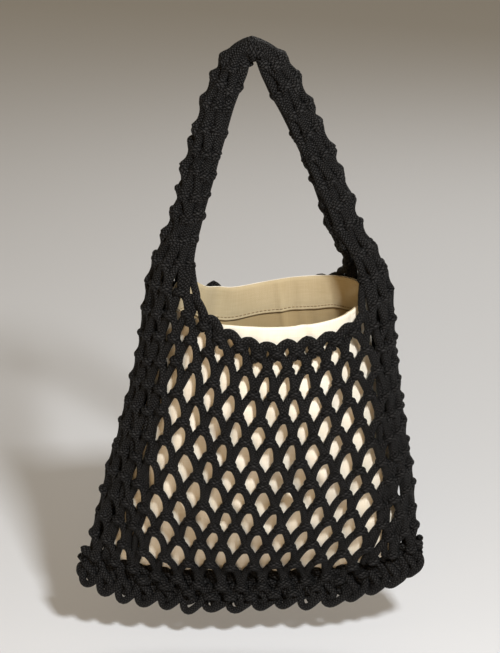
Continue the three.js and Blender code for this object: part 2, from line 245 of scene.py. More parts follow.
# Half columns, first and last row, and millimetres out of each group of strands on the right
SIDE_STRANDS = [(FURTHER, 0, LAST_ROW, -2.3), (NEARER, 3, LAST_ROW, -2.3)]
STRAP_STRANDS = [
    (CORE_COLUMNS, -STRAP_ROWS, -2.4, -6.0),
    (FURTHER, -STRAP_ROWS, 0.2, -2.8),
    (NEARER, -STRAP_ROWS, -2.6, -2.8),
]

# The facing's cross-section: down from the mouth as a share of its height, and inwards from its outer side
FACING_OUTLINE = [
    (1.0, 0), (0.66, 0), (0.33, 0), (0, 0), (-0.02, 0.6), (0, 1.2), (0.1, 1.4), (0.25, 1.4), (0.4, 1.4),
    (0.55, 1.4), (0.7, 1.4), (0.82, 1.45), (0.9, 1.05), (0.94, 1.4), (0.99, 1.6), (1.01, 1.0), (1.012, 0.4),
]


def smooth(low, high, value):
    """0 at low and 1 at high, with a gentle start and end. low may be the larger one."""
    share = np.clip((value - low) / (high - low), 0, 1)
    return share * share * (3 - 2 * share)


def read_table(keys, values, at):
    """A smooth curve through a table's column, held level past its ends."""
    last = len(keys) - 1
    before = np.maximum(np.arange(last + 1) - 1, 0)
    after = np.minimum(np.arange(last + 1) + 1, last)
    slopes = (values[after] - values[before]) / (keys[after] - keys[before])
    at = np.clip(at, keys[0], keys[-1])
    k = np.clip(np.searchsorted(keys, at, "right") - 1, 0, last - 1)
    span = keys[k + 1] - keys[k]
    t = (at - keys[k]) / span
    start = t * (1 - t) ** 2 * span * slopes[k]
    end = t * t * (t - 1) * span * slopes[k + 1]
    return values[k] + (values[k + 1] - values[k]) * t * t * (3 - 2 * t) + start + end


def path_steps(points):
    """The length along a path up to each of its points."""
    return np.concatenate([[0], np.cumsum(np.linalg.norm(np.diff(points, axis=0), axis=1))])


def resample(table, count, sizes=1):
    """Even places on the curve through a table's rows. sizes are the millimetres in a unit of each column."""
    steps = path_steps(table * sizes)
    even = np.linspace(0, steps[-1], count)
    return np.stack([read_table(steps, column, even) for column in table.T], -1)


def centred(h):
    """The same half column, counted from the front's middle to the back's middle on either side."""
    return (h + BACK_COLUMN) % HALF_COLUMNS - BACK_COLUMN


def sideways(h):
    """Half columns from the middle of the front or the back, whichever is nearer."""
    side = np.abs(centred(h))
    return np.minimum(side, BACK_COLUMN - side)


def level_at(z):
    """The pouch's and the net's half sizes at heights z."""
    down = (-MOUTH_DROP - z) / POUCH_HEIGHT
    pouch, net, depth, shift, share = (read_table(LEVELS[:, 0], LEVELS[:, c], down) for c in range(1, 6))
    return {
        "down": down,
        "width": POUCH_WIDTH / 2 * pouch,
        "depth": POUCH_DEPTH / 2 * depth,
        "net": NET_WIDTH / 2 * net,
        "centre": MOUTH_SHIFT * shift,
        "share": share,
    }


# The turn of each half column at each height, worked out once on a grid
GRID_Z = np.linspace(-490, -150, 86)
GRID_H = np.linspace(-BACK_COLUMN, BACK_COLUMN, 257)


def column_share(h, edge_share):
    """Quarter girths from the front's middle to a half column, up to the back's middle."""
    side = np.abs(h)
    near = np.where(side > SIDE_COLUMN, 2 * SIDE_COLUMN - side, side)
    inner = edge_share * near / EDGE_COLUMN
    outer = edge_share + (1 - edge_share) * (near - EDGE_COLUMN) / (SIDE_COLUMN - EDGE_COLUMN)
    share = np.where(near <= EDGE_COLUMN, inner, outer)
    return np.sign(h) * np.where(side > SIDE_COLUMN, 2 - share, share)


def turn_grid():
    """The turn at which each half column lies, spaced along the girth at each height of the grid."""
    turns = np.linspace(-1.5 * math.pi, 1.5 * math.pi, GIRTH_POINTS)
    rows = []
    for z in GRID_Z:
        level = level_at(np.array([z]))
        a = float(level["width"][0]) + NET_OFFSET
        b = float(level["depth"][0]) + NET_OFFSET
        speed = np.hypot(a * np.cos(turns), b * np.sin(turns))
        along = np.concatenate([[0], np.cumsum((speed[1:] + speed[:-1]) / 2 * np.diff(turns))])
        along -= np.interp(0, turns, along)
        quarter = np.interp(math.pi / 2, turns, along)
        twist = TWIST * np.clip(1 - level["down"][0], 0, 1.1)
        rows.append(np.interp(column_share(GRID_H, level["share"][0]) * quarter + twist, along, turns))
    return np.array(rows)


TURNS = turn_grid()


def turn_at(h, z):
    """The turn round the bag of half columns h at heights z, read from the grid."""
    zi = np.clip((z - GRID_Z[0]) / (GRID_Z[1] - GRID_Z[0]), 0, len(GRID_Z) - 1.001)
    hi = np.clip((centred(h) - GRID_H[0]) / (GRID_H[1] - GRID_H[0]), 0, len(GRID_H) - 1.001)
    z0, h0 = zi.astype(int), hi.astype(int)
    tz, th = zi - z0, hi - h0
    low = TURNS[z0, h0] * (1 - th) + TURNS[z0, h0 + 1] * th
    high = TURNS[z0 + 1, h0] * (1 - th) + TURNS[z0 + 1, h0 + 1] * th
    return low * (1 - tz) + high * tz


def bottom_curve(across):
    """How far the net's bottom rises towards the bag's two ends, with its tilt."""
    return HEM_RISE * np.abs(across) ** 3 + HEM_TILT * across


def row_height(h, row):
    """The height of a place in the net: rows run from the rim to the bottom seam, and on up the strap."""
    h = centred(h)
    front_rim = np.interp(h, FRONT_RIM[:, 0], FRONT_RIM[:, 1])
    back_rim = np.interp(centred(h + BACK_COLUMN), BACK_RIM[:, 0], BACK_RIM[:, 1])
    rim = -(front_rim + (back_rim - front_rim) * smooth(EDGE_COLUMN, FAR_EDGE_COLUMN, np.abs(h)))
    bunched = smooth(EDGE_COLUMN - 3, EDGE_COLUMN + 2, sideways(h))
    shares = np.interp(row, np.arange(LAST_ROW + 1), ROW_SHARES)
    share = shares * (1 - bunched) + np.clip(row / LAST_ROW, 0, 1) * bunched
    bottom = -SEAM_DROP + bottom_curve(np.sin(h / SIDE_COLUMN * math.pi / 2))
    beyond = np.minimum(row, 0) + np.maximum(row - LAST_ROW, 0)
    return rim + (bottom - rim) * share - beyond * ROW_PITCH


def body_point(h, row, out):
    """A place on the bag's body, as if the net didn't turn into the strap."""
    z = row_height(h, row)
    level = level_at(z)
    turn = turn_at(h, z)
    flare = (level["net"] - NET_INSET - level["width"] - NET_OFFSET) * np.abs(np.sin(turn)) ** 3
    x = level["centre"] + (level["width"] + NET_OFFSET + flare + out) * np.sin(turn)
    y = -(level["depth"] + NET_OFFSET + out) * np.cos(turn)
    return np.stack([x, y, z], -1)


def strap_line():
    """The strap's centreline from the left leg's foot over the top, as dense points across and up."""
    fall = -LEG_DROP - STRAP_TOP
    left = [(-LEFT_SPREAD * out, STRAP_TOP + fall * drop) for drop, out in LEFT_SHOULDER + STRAP_LEG]
    right = [(RIGHT_SPREAD * out, STRAP_TOP + fall * drop) for drop, out in RIGHT_SHOULDER + STRAP_LEG]
    return resample(np.array(left[::-1] + [(0, STRAP_TOP)] + right, float), STRAP_LINE_POINTS)


STRAP_LINE = strap_line()
STRAP_LENGTH = path_steps(STRAP_LINE)
STRAP_SLOPE = np.gradient(STRAP_LINE, STRAP_LENGTH, axis=0)
STRAP_MIDDLE = float(STRAP_LENGTH[np.argmax(STRAP_LINE[:, 1])])
STRAP_WHOLE = float(STRAP_LENGTH[-1])


def strap_point(side, u, row, out):
    """side is -1 on the left leg and 1 on the right, u counts half columns from the leg's outer one."""
    foot = FRONT_RIM[0, 1] if side < 0 else FRONT_RIM[-1, 1] - RIGHT_FOOT_LIFT
    base = foot - LEG_DROP
    half = STRAP_MIDDLE if side < 0 else STRAP_WHOLE - STRAP_MIDDLE
    pitch = (half + base) / STRAP_ROWS
    run = -row * pitch - base
    at = run if side < 0 else STRAP_WHOLE - run
    held = np.clip(at, 0, STRAP_WHOLE)
    x, z = (np.interp(held, STRAP_LENGTH, column) for column in STRAP_LINE.T)
    tx, tz = (np.interp(held, STRAP_LENGTH, column) for column in STRAP_SLOPE.T)
    norm = np.hypot(tx, tz)
    tx, tz = tx / norm, tz / norm
    x = x + (at - held) * tx
    z = z + (at - held) * tz
    rise = np.clip(-row / STRAP_ROWS, 0, 1)
    wide = STRAP_HALF_WIDE - STRAP_WIDE_LOSS * rise - APEX_WIDE_LOSS * smooth(0.87, 1.0, rise) + out
    deep = STRAP_HALF_DEEP - STRAP_DEEP_LOSS * rise + FOOT_DEEP_GAIN * smooth(0.26, 0.0, rise) + out
    turn = u / LEG_COLUMNS * math.pi * STRAP_TURN + STRAP_TWIST * (1 - rise) * smooth(0.0, 0.2, rise)
    spread = RIGHT_FOOT_SPREAD * smooth(0.5, 0.1, rise) * np.clip(np.sin(turn), 0, 1) if side > 0 else 0
    px = x - tz * wide * np.cos(turn) - spread
    py = side * deep * np.sin(turn)
    pz = z + tx * wide * np.cos(turn)
    return np.stack([px, py, pz], -1)


def net_point(h, row, out):
    """A place in the net: half column h, row and millimetres outwards. The sides turn into the strap."""
    body = body_point(h, row, out)
    h = centred(h)
    left = strap_point(-1, h + SIDE_COLUMN, row, out)
    right = strap_point(1, h - SIDE_COLUMN, row, out)
    strap = np.where((h < 0)[..., None], left, right)
    # Above the rim the strap takes in more of the half columns beside the panels
    inner = EDGE_COLUMN - 2 - 2.5 * smooth(-0.2, -1.0, row)
    pull = (1 - smooth(-3.0, 1.4, row)) * smooth(inner, inner + 2, sideways(h))
    return body + (strap - body) * pull[..., None]


def outward(h, row):
    """The direction straight out of the net."""
    step = net_point(h, row, np.ones_like(row)) - net_point(h, row, np.zeros_like(row))
    return step / np.linalg.norm(step, axis=-1, keepdims=True)


# Meshes
class Shape:
    """Vertices, faces and texture coordinates of a piece while it is put together."""

    def __init__(self):
        self.points, self.quads, self.tris = [], [], []
        self.quad_uv, self.tri_uv = [], []
        self.count = 0

    def add(self, points, quads, quad_uv, tris=None, tri_uv=None):
        self.points.append(points.reshape(-1, 3))
        self.quads.append(quads.reshape(-1, 4) + self.count)
        self.quad_uv.append(quad_uv.reshape(-1, 4, 2))
        if tris is not None:
            self.tris.append(tris.reshape(-1, 3) + self.count)
            self.tri_uv.append(tri_uv.reshape(-1, 3, 2))
        self.count += len(self.points[-1])

    def build(self, name, material):
        points = np.concatenate(self.points) * MM
        quads = np.concatenate(self.quads)
        tris = np.concatenate(self.tris) if self.tris else np.zeros((0, 3), int)
        tri_uv = np.concatenate(self.tri_uv) if self.tri_uv else np.zeros((0, 3, 2))
        mesh = bpy.data.meshes.new(name)
        mesh.vertices.add(len(points))
        mesh.vertices.foreach_set("co", points.astype(np.float32).ravel())
        loops = np.concatenate([quads.ravel(), tris.ravel()]).astype(np.int32)
        mesh.loops.add(len(loops))
        mesh.loops.foreach_set("vertex_index", loops)
        starts = np.concatenate([np.arange(len(quads)) * 4, len(quads) * 4 + np.arange(len(tris)) * 3])
        mesh.polygons.add(len(starts))
        mesh.polygons.foreach_set("loop_start", starts.astype(np.int32))
        mesh.update(calc_edges=True)
        layer = mesh.uv_layers.new(name="UVMap")
        uv = np.concatenate([np.concatenate(self.quad_uv).reshape(-1, 2), tri_uv.reshape(-1, 2)])
        layer.data.foreach_set("uv", uv.astype(np.float32).ravel())
        mesh.shade_smooth()
        mesh.validate()
        mesh.materials.append(material)
        piece = bpy.data.objects.new(name, mesh)
        bpy.context.scene.collection.objects.link(piece)
        return piece


def normalised(vectors):
    """The vectors' directions, each of length one."""
    return vectors / np.maximum(np.linalg.norm(vectors, axis=-1, keepdims=True), 1e-9)


def tube_sides(lengths, steps, sides, size, closed):
    """The quads round each cord, and their texture: a share round it and millimetres along it."""
    spans = steps if closed else steps - 1
    s, k, j = np.meshgrid(np.arange(len(lengths)), np.arange(spans), np.arange(sides), indexing="ij")
    near = s * size + k * sides
    far = s * size + (k + 1) % steps * sides
    nj = (j + 1) % sides
    quads = np.stack([near + j, near + nj, far + nj, far + j], -1)
    corners = ((j, k), (j + 1, k), (j + 1, k + 1), (j, k + 1))
    uv = np.stack([np.stack([round_it / sides, lengths[s, along]], -1) for round_it, along in corners], -2)
    return quads, uv


def tube_ends(count, steps, sides, size):
    """The triangles of the low cones that close both ends of each cord."""
    s, j = np.meshgrid(np.arange(count), np.arange(sides), indexing="ij")
    base = s * size
    end = base + (steps - 1) * sides
    nj = (j + 1) % sides
    heads = np.stack([base + nj, base + j, base + steps * sides], -1)
    tails = np.stack([end + j, end + nj, base + steps * sides + 1], -1)
    return np.concatenate([heads.reshape(-1, 3), tails.reshape(-1, 3)])


def sweep(shape, paths, refs, radius, sides, closed=False):
    """Adds round cords along many paths at once. refs point roughly away from the cords' own direction."""
    count, steps, _ = paths.shape
    if closed:
        ahead = np.roll(paths, -1, axis=1)
        tangents = normalised(ahead - np.roll(paths, 1, axis=1))
        strides = np.linalg.norm(ahead - paths, axis=-1)
    else:
        tangents = normalised(np.gradient(paths, axis=1))
        strides = np.linalg.norm(np.diff(paths, axis=1), axis=-1)
    lengths = np.concatenate([np.zeros((count, 1)), np.cumsum(strides, axis=1)], axis=1)
    across = normalised(np.cross(tangents, refs))
    up = np.cross(across, tangents)
    turns = np.arange(sides) / sides * 2 * math.pi
    ring = np.cos(turns)[:, None] * across[:, :, None, :] + np.sin(turns)[:, None] * up[:, :, None, :]
    points = (paths[:, :, None, :] + radius * ring).reshape(count, steps * sides, 3)
    size = steps * sides + (0 if closed else 2)
    quads, uv = tube_sides(lengths, steps, sides, size, closed)
    if closed:
        shape.add(points, quads, uv)
        return
    tip = radius * 0.4
    first = paths[:, :1] - tangents[:, :1] * tip
    last = paths[:, -1:] + tangents[:, -1:] * tip
    tris = tube_ends(count, steps, sides, size)
    shape.add(np.concatenate([points, first, last], axis=1), quads, uv, tris, np.zeros((len(tris), 3, 2)))


def upright(paths):
    """Directions straight up, for cords that run level."""
    refs = np.zeros_like(paths)
    refs[..., 2] = 1
    return refs


# The net's knots and strands
WANDER = np.array([WANDER_COLUMNS, WANDER_ROWS, WANDER_OUT])
JITTER = RNG.normal(0, 1, (HALF_COLUMNS, WANDER_TABLE_ROWS, 3))


def jitter(h, row):
    """The wander of a knot from its even place, the same for every strand that meets it."""
    column = np.asarray(h, int) % HALF_COLUMNS
    wander = np.clip(JITTER[column, np.asarray(row, int) + WANDER_TABLE_ROWS // 2], -2, 2)
    loose = 1 + STRAP_LOOSENESS * smooth(1, -3, np.asarray(row, float))[..., None]
    return wander * loose * WANDER


def places(knots):
    """The knots' half columns and rows, as two arrays."""
    return np.array(knots, float).T


def arches(shape, knots, leg, points, sides, radius=CORD_RADIUS):
    """Each knot's loop: down to its left neighbour in the next row, and to its right one."""
    legs = resample(leg, points, [COLUMN_PITCH, ROW_PITCH, 1])
    across, down, proud = np.concatenate([legs[::-1], legs[1:]]).T
    way = np.concatenate([-np.ones(points), np.ones(points - 1)])
    h0, r0 = places(knots)
    left = jitter(h0 - 1, r0 + 1)[:, None]
    right = jitter(h0 + 1, r0 + 1)[:, None]
    theirs = np.where((way < 0)[:, None], left, right)
    share = smooth(0.1, 0.95, down)[:, None]
    wander = jitter(h0, r0)[:, None] * (1 - share) + theirs * share
    over = np.where(jitter(h0 * 3 + 1, r0)[:, :1] > 0, 1, -1)
    crossing = over * way * LEG_CROSSING * smooth(0.7, 1.0, down)
    h = h0[:, None] + way * across + wander[..., 0]
    row = r0[:, None] + down + wander[..., 1]
    bulge = 1 + STRAP_BULGE * smooth(0.5, -2.0, row)
    out = proud * bulge + wander[..., 2] + crossing
    sweep(shape, net_point(h, row, out), outward(h, row), radius, sides)


def wraps(shape, knots, points, sides):
    """The band of cord round each knot, a little tilted."""
    h0, r0 = places(knots)
    wander = jitter(h0, r0)
    h, row = h0 + wander[:, 0], r0 + wander[:, 1]
    # Up the strap and along the bag's sides the knots are drawn in among the strands, unevenly at the sides
    beside = smooth(4.5, 1.5, SIDE_COLUMN - sideways(h0))
    uneven = np.clip(0.5 + 0.25 * wander[:, 0] / WANDER_COLUMNS, 0, 1)
    drawn_in = np.maximum(smooth(0.5, -2.0, row), (0.45 + 0.55 * uneven) * beside)
    centre = net_point(h, row, KNOT_OUT - KNOT_DRAW * drawn_in)
    out = outward(h, row)
    flush = np.zeros_like(h)
    up = normalised(net_point(h, row - 0.2, flush) - net_point(h, row + 0.2, flush))
    across = normalised(np.cross(up, out))
    turns = np.arange(points) / points * 2 * math.pi
    tilt = WRAP_TILT * np.clip(jitter(h0 * 5 + 3, r0)[:, :1] / WANDER_COLUMNS, -2.5, 2.5)
    wide = WRAP_WIDE + WRAP_WIDE_SPREAD * jitter(h0 * 7 + 2, r0)[:, 1:2] / WANDER_ROWS
    aside = np.clip(wide, *WRAP_WIDE_LIMITS) * np.cos(turns)
    proud = WRAP_PROUD * np.sin(turns)
    rise = tilt * np.cos(turns) - WRAP_SAG * np.cos(2 * turns)
    paths = centre[:, None] + aside[..., None] * across[:, None]
    paths = paths + proud[:, None] * out[:, None] + rise[..., None] * up[:, None]
    sweep(shape, paths, np.broadcast_to(up[:, None], paths.shape), WRAP_RADIUS, sides, closed=True)


def selvages(shape, edges):
    """The straight strands along the strap's two edges, from one edge knot to the next but one row."""
    t = np.linspace(0.02, 0.98, SELVAGE_POINTS)
    h0, r0 = places(edges)
    upper = jitter(h0, r0)[:, None]
    lower = jitter(h0, r0 + 2)[:, None]
    wander = upper * (1 - t)[:, None] + lower * t[:, None]
    rising = np.isin(h0 % HALF_COLUMNS, [EDGE_COLUMN, HALF_COLUMNS - FAR_EDGE_COLUMN])
    inwards = np.where(rising, 1, -1)[:, None]
    h = h0[:, None] + wander[..., 0] + inwards * SELVAGE_BOW * np.sin(t * math.pi)
    row = r0[:, None] + 2 * t + wander[..., 1]
    sweep(shape, net_point(h, row, wander[..., 2] + SELVAGE_OUT), outward(h, row), CORD_RADIUS, CORD_SIDES)


def strands(shape, columns, first, last, out):
    """Long strands that run up the bunched net under its knots."""
    rows = np.linspace(first, last, int(abs(last - first) * CORE_POINTS_PER_ROW))
    h0 = np.array(columns, float)[:, None]
    sway = np.sin(rows * 0.9 + h0 * 2.3) + 0.4 * np.sin(rows * 2.1 + h0)
    h = h0 + STRAND_SWAY * sway
    row = np.broadcast_to(rows, h.shape)
    depth = out + STRAND_DEPTH_SWAY * np.sin(rows * 1.7 + h0 * 1.1)
    sweep(shape, net_point(h, row, depth), outward(h, row), CORE_RADIUS, CORE_SIDES)


def mirrored(groups):
    """The same groups of strands on the left."""
    return [([-h for h in columns], first, last, out) for columns, first, last, out in groups]


def is_knot(h, row):
    """Knots sit at every other half column, and change places from row to row."""
    return (h + row) % 2 == 1


def panel_knots(middle):
    """The knots of the panel round a middle half column, the front's or the back's."""
    across = range(-EDGE_COLUMN + 1, EDGE_COLUMN)
    return [(middle + h, r) for r in range(1, LAST_ROW + 1) for h in across if is_knot(h, r)]


def side_knots(middle, first, last):
    """The knots of a bunched side, between two rows."""
    across = range(-LEG_COLUMNS, LEG_COLUMNS + 1)
    return [(middle + h, r) for r in range(first, last + 1) for h in across if is_knot(h, r)]


# Materials: plaits round a cord and in a millimetre of it, its colours with painted shade for the plaits'
# hollows, and threads' width in millimetres
PLAITS_AROUND = 7
PLAITS_PER_MM = 0.34
# Painted shade for the hollows between plaits, then the plaits' own near-black
CORD_CREVICE_SHADE = (0.0002, 0.0002, 0.0003)
CORD_LIGHT = (0.021, 0.0208, 0.021)
CANVAS_PITCH = 1.1
THREAD_PITCH = 0.5


def start_material(name, roughness, specular, sheen=0.0):
    """A material with its node tree and shader."""
    material = bpy.data.materials.new(name)
    material.use_nodes = True
    shader = material.node_tree.nodes["Principled BSDF"]
    shader.inputs["Roughness"].default_value = roughness
    shader.inputs["Specular IOR Level"].default_value = specular
    shader.inputs["Sheen Weight"].default_value = sheen
    return material, material.node_tree, shader


def maths(tree):
    """A function that adds a maths node for numbers and sockets, and gives back its result."""

    def result(operation, *values):
        node = tree.nodes.new("ShaderNodeMath")
        node.operation = operation
        for socket, value in zip(node.inputs, values):
            if isinstance(value, (int, float)):
                socket.default_value = value
            else:
                tree.links.new(value, socket)
        return node.outputs[0]

    return result


def texture_place(tree):
    """The texture coordinates, whole and as the two numbers round or across, and along."""
    coords = tree.nodes.new("ShaderNodeUVMap")
    coords.uv_map = "UVMap"
    split = tree.nodes.new("ShaderNodeSeparateXYZ")
    tree.links.new(coords.outputs[0], split.inputs[0])
    return coords.outputs[0], split.outputs[0], split.outputs[1]


def object_place(tree):
    """The place on the object itself, in metres."""
    return tree.nodes.new("ShaderNodeTexCoord").outputs["Object"]


def noise(tree, place, scale, detail=2):
    """The strength of a noise at a place."""
    node = tree.nodes.new("ShaderNodeTexNoise")
    node.inputs["Scale"].default_value = scale
    node.inputs["Detail"].default_value = detail
    tree.links.new(place, node.inputs["Vector"])
    return node.outputs["Fac"]


def over_under(result, one, two, first, second):
    """The first thread where the two counts add up to an odd number, and the second elsewhere."""
    cells = result("ADD", result("FLOOR", one), result("FLOOR", two))
    chosen = result("GREATER_THAN", result("FRACT", result("MULTIPLY", cells, 0.5)), 0.25)
    other = result("SUBTRACT", 1, chosen)
    return result("ADD", result("MULTIPLY", first, chosen), result("MULTIPLY", second, other))


def add_bump(tree, shader, height, strength, distance):
    """Lets the shader's normal follow a height."""
    bump = tree.nodes.new("ShaderNodeBump")
    bump.inputs["Strength"].default_value = strength
    bump.inputs["Distance"].default_value = distance
    tree.links.new(height, bump.inputs["Height"])
    tree.links.new(bump.outputs["Normal"], shader.inputs["Normal"])


def colour_ramp(tree, share, *stops):
    """The colour for a share, from two stops of a position and a colour."""
    ramp = tree.nodes.new("ShaderNodeValToRGB")
    for element, (position, colour) in zip(ramp.color_ramp.elements, stops):
        element.position = position
        element.color = (*colour, 1)
    tree.links.new(share, ramp.inputs["Fac"])
    return ramp.outputs["Color"]


def braid_material():
    """Black braided cord: two families of plaits that pass over and under each other, with painted shade in
    the hollows between them.
    """
    material, tree, shader = start_material("braided_cord", roughness=0.55, specular=0.1)
    result = maths(tree)
    _, u, v = texture_place(tree)
    around = result("MULTIPLY", u, PLAITS_AROUND)
    along = result("MULTIPLY", v, PLAITS_PER_MM)
    one = result("ADD", around, along)
    two = result("SUBTRACT", around, along)
    first = result("SINE", result("MULTIPLY", result("FRACT", one), math.pi))
    second = result("SINE", result("MULTIPLY", result("FRACT", two), math.pi))
    plait = over_under(result, one, two, first, second)
    edge = result("POWER", result("MULTIPLY", first, second), 0.35)
    height = result("MULTIPLY", plait, edge)
    place = object_place(tree)
    fibres = noise(tree, place, 1400, detail=3)
    wear = noise(tree, place, 60)
    rough = result("ADD", result("MULTIPLY", fibres, 0.35), height)
    add_bump(tree, shader, rough, strength=1.0, distance=0.0008)
    # Painted shade: the plaits' hollows and edges are coloured near black, and the wear noise varies the tone
    crevice_shade_and_wear = result("MULTIPLY", height, result("ADD", 0.6, result("MULTIPLY", wear, 0.7)))
    colour = colour_ramp(tree, crevice_shade_and_wear, (0.1, CORD_CREVICE_SHADE), (1.0, CORD_LIGHT))
    tree.links.new(colour, shader.inputs["Base Color"])
    return material


def slubs(tree, place, stretch):
    """Noise drawn out along the threads of one direction."""
    mapping = tree.nodes.new("ShaderNodeMapping")
    mapping.inputs["Scale"].default_value = stretch
    tree.links.new(place, mapping.inputs["Vector"])
    return noise(tree, mapping.outputs[0], 1)


def with_painted_shade(tree, colour, painted_shade, chosen):
    """The colour multiplied by a colour of painted shade where chosen."""
    mix = tree.nodes.new("ShaderNodeMix")
    mix.data_type = "RGBA"
    mix.blend_type = "MULTIPLY"
    mix.inputs["B"].default_value = (*painted_shade, 1)
    tree.links.new(chosen, mix.inputs["Factor"])
    tree.links.new(colour, mix.inputs["A"])
    return mix.outputs["Result"]


def canvas_material(name, light, dark, pitch, painted_shade=None, painted_shade_from=0):
    """Plain-woven canvas: threads over and under, with thicker slubs, a little unevenness of colour and
    painted shade where the threads dip under. Past a given place along the cloth, a colour of painted shade
    can darken it.
    """
    material, tree, shader = start_material(name, roughness=0.92, specular=0.2, sheen=0.15)
    result = maths(tree)
    coords, across, along = texture_place(tree)
    u = result("MULTIPLY", across, math.pi / pitch)
    v = result("MULTIPLY", along, math.pi / pitch)
    warp = result("ABSOLUTE", result("SINE", u))
    weft = result("ABSOLUTE", result("SINE", v))
    weave = over_under(result, result("DIVIDE", u, math.pi), result("DIVIDE", v, math.pi), warp, weft)
    slub = result("ADD", slubs(tree, coords, (0.05, 0.9, 1)), slubs(tree, coords, (0.9, 0.05, 1)))
    patches = noise(tree, object_place(tree), 25)
    height = result("ADD", result("MULTIPLY", weave, 0.6), result("MULTIPLY", slub, 0.5))
    add_bump(tree, shader, height, strength=0.55, distance=0.0004)
    # The slubs and patches vary the canvas's own tone; the weave's small share is painted shade where the
    # threads dip under
    shade = result("ADD", result("MULTIPLY", slub, 0.45), result("MULTIPLY", patches, 0.45))
    shade = result("ADD", shade, result("MULTIPLY", weave, 0.12))
    colour = colour_ramp(tree, shade, (0.45, dark), (0.95, light))
    # Painted shade or shadow, past a given place along the cloth
    if painted_shade is not None:
        colour = with_painted_shade(tree, colour, painted_shade, result("GREATER_THAN", along, painted_shade_from))
    tree.links.new(colour, shader.inputs["Base Color"])
    return material


CORD = braid_material()
# Painted shade darkens the pouch's inner wall, and a painted shadow the facing along its lower edge
CANVAS = canvas_material(
    "cream_canvas", (0.85, 0.8, 0.7), (0.74, 0.67, 0.52), CANVAS_PITCH,
    painted_shade=(0.45, 0.36, 0.22), painted_shade_from=INNER_SHADE_FROM,
)
# The facing's two colours are its own tan, darkened further as painted shade for the inside of the mouth
FACING = canvas_material(
    "facing_canvas", (0.5, 0.42, 0.27), (0.42, 0.34, 0.2), CANVAS_PITCH,
    painted_shade=(0.42, 0.35, 0.25), painted_shade_from=FACING_SHADOW_FROM,
)
THREAD = canvas_material("stitch_thread", (0.3, 0.22, 0.12), (0.2, 0.14, 0.07), THREAD_PITCH)


def net_piece(name, knots, rim_knots=(), edge_knots=(), no_wrap=(), groups=()):
    """A part of the net: strands beneath, loops from knot to knot, edges and the bands round the knots."""
    shape = Shape()
    for columns, first, last, out in groups:
        strands(shape, columns, first, last, out)
    arches(shape, [k for k in knots if k[1] < LAST_ROW], LEG, LEG_POINTS, CORD_SIDES)
    if rim_knots:
        arches(shape, rim_knots, RIM_LEG, RIM_POINTS, CORD_SIDES, RIM_RADIUS)
        arches(shape, rim_knots, RIM_INNER, RIM_INNER_POINTS, THIN_SIDES, RIM_INNER_RADIUS)
    if edge_knots:
        selvages(shape, edge_knots)
    wraps(shape, [k for k in knots if k not in no_wrap], WRAP_POINTS, CORD_SIDES)
    return shape.build(name, CORD)


HEM_HALF = NET_WIDTH / 2 - 6 + HEM_REACH
HEM_CENTRE = float(level_at(np.array(-HEM_DROP, float))["centre"])
HEM_ANGLE = math.pi / 2 * 0.9


def hem_point(h, aside, down, back):
    """A place in the hem: half column h along the seam, and millimetres aside, down and back from it."""
    held = np.clip(h / SIDE_COLUMN, -1, 1)
    across = 0.35 * np.sin(held * HEM_ANGLE) / math.sin(HEM_ANGLE) + 0.65 * held
    end = np.abs(across) ** 6
    x = HEM_CENTRE + across * HEM_HALF + aside * (1 - 0.3 * end)
    y = back * (1 - 0.35 * end)
    z = -SEAM_DROP - HEM_LOWER + bottom_curve(across) - down * (1 - 0.12 * end)
    return np.stack([x, y, z], -1)


def hem_row(shape, table, points, start, layer):
    """The same strand of every loop in one layer of the hem."""
    line = resample(table, points)
    h0 = np.arange(start - SIDE_COLUMN, SIDE_COLUMN - 0.4, 2.0)[:, None]
    wander = RNG.normal(0, 1, (len(h0), 4)).clip(-1.6, 1.6)
    aside = line[:, 0] * (1 + 0.07 * wander[:, :1]) + 0.9 * wander[:, 1:2]
    down = line[:, 1] * (1 + 0.07 * wander[:, 2:3]) * (1 if layer > 0 else BACK_LAYER_SHARE)
    back = line[:, 2] + 0.5 * wander[:, 3:4]
    paths = hem_point(h0, aside, down, layer * (back - HEM_LAYER_DEPTH))
    aim = np.broadcast_to(np.array([0.0, 1.0, 0.0]), paths.shape)
    ahead = normalised(np.gradient(paths, axis=1))
    sweep(shape, paths, aim + 0.2 * np.cross(ahead, aim), CORD_RADIUS, CORD_SIDES)


def hem_twists(shape):
    """The twisted pairs along the seam, between the front's and the back's knots."""
    h = np.linspace(-SIDE_COLUMN - 0.1, SIDE_COLUMN + 0.1, TWIST_POINTS)
    for middle, rate, wide in HEM_TWISTS:
        for phase in (0, math.pi):
            angle = h * math.pi * rate + phase
            down = middle + 3.0 * np.cos(angle) + 0.8 * np.sin(h * 2.3 + middle)
            path = hem_point(h, np.zeros_like(h), down, wide * np.sin(angle))[None]
            sweep(shape, path, upright(path), CORD_RADIUS, THIN_SIDES)


def hem_piece():
    """The dense seam that joins front and back, and the row of hooked loops that hangs below it."""
    shape = Shape()
    for table, points in ((HOOK, HOOK_POINTS), (CROSSING, CROSSING_POINTS)):
        for start, layer in HEM_LAYERS:
            hem_row(shape, table, points, start, layer)
    hem_twists(shape)
    panels = (0, BACK_COLUMN)
    columns = range(-EDGE_COLUMN, EDGE_COLUMN + 1)
    knotted = [h for h in columns if is_knot(h, LAST_ROW)]
    between = [h for h in columns if not is_knot(h, LAST_ROW)]
    looped = [(middle + h, LAST_ROW) for middle in panels for h in knotted]
    arches(shape, looped, LEG[:6], HEM_LEG_POINTS, THIN_SIDES)
    wrapped = [(middle + h, LAST_ROW + 0.45) for middle in panels for h in between]
    wraps(shape, wrapped, HEM_WRAP_POINTS, THIN_SIDES)
    return shape.build("hem_loops", CORD)


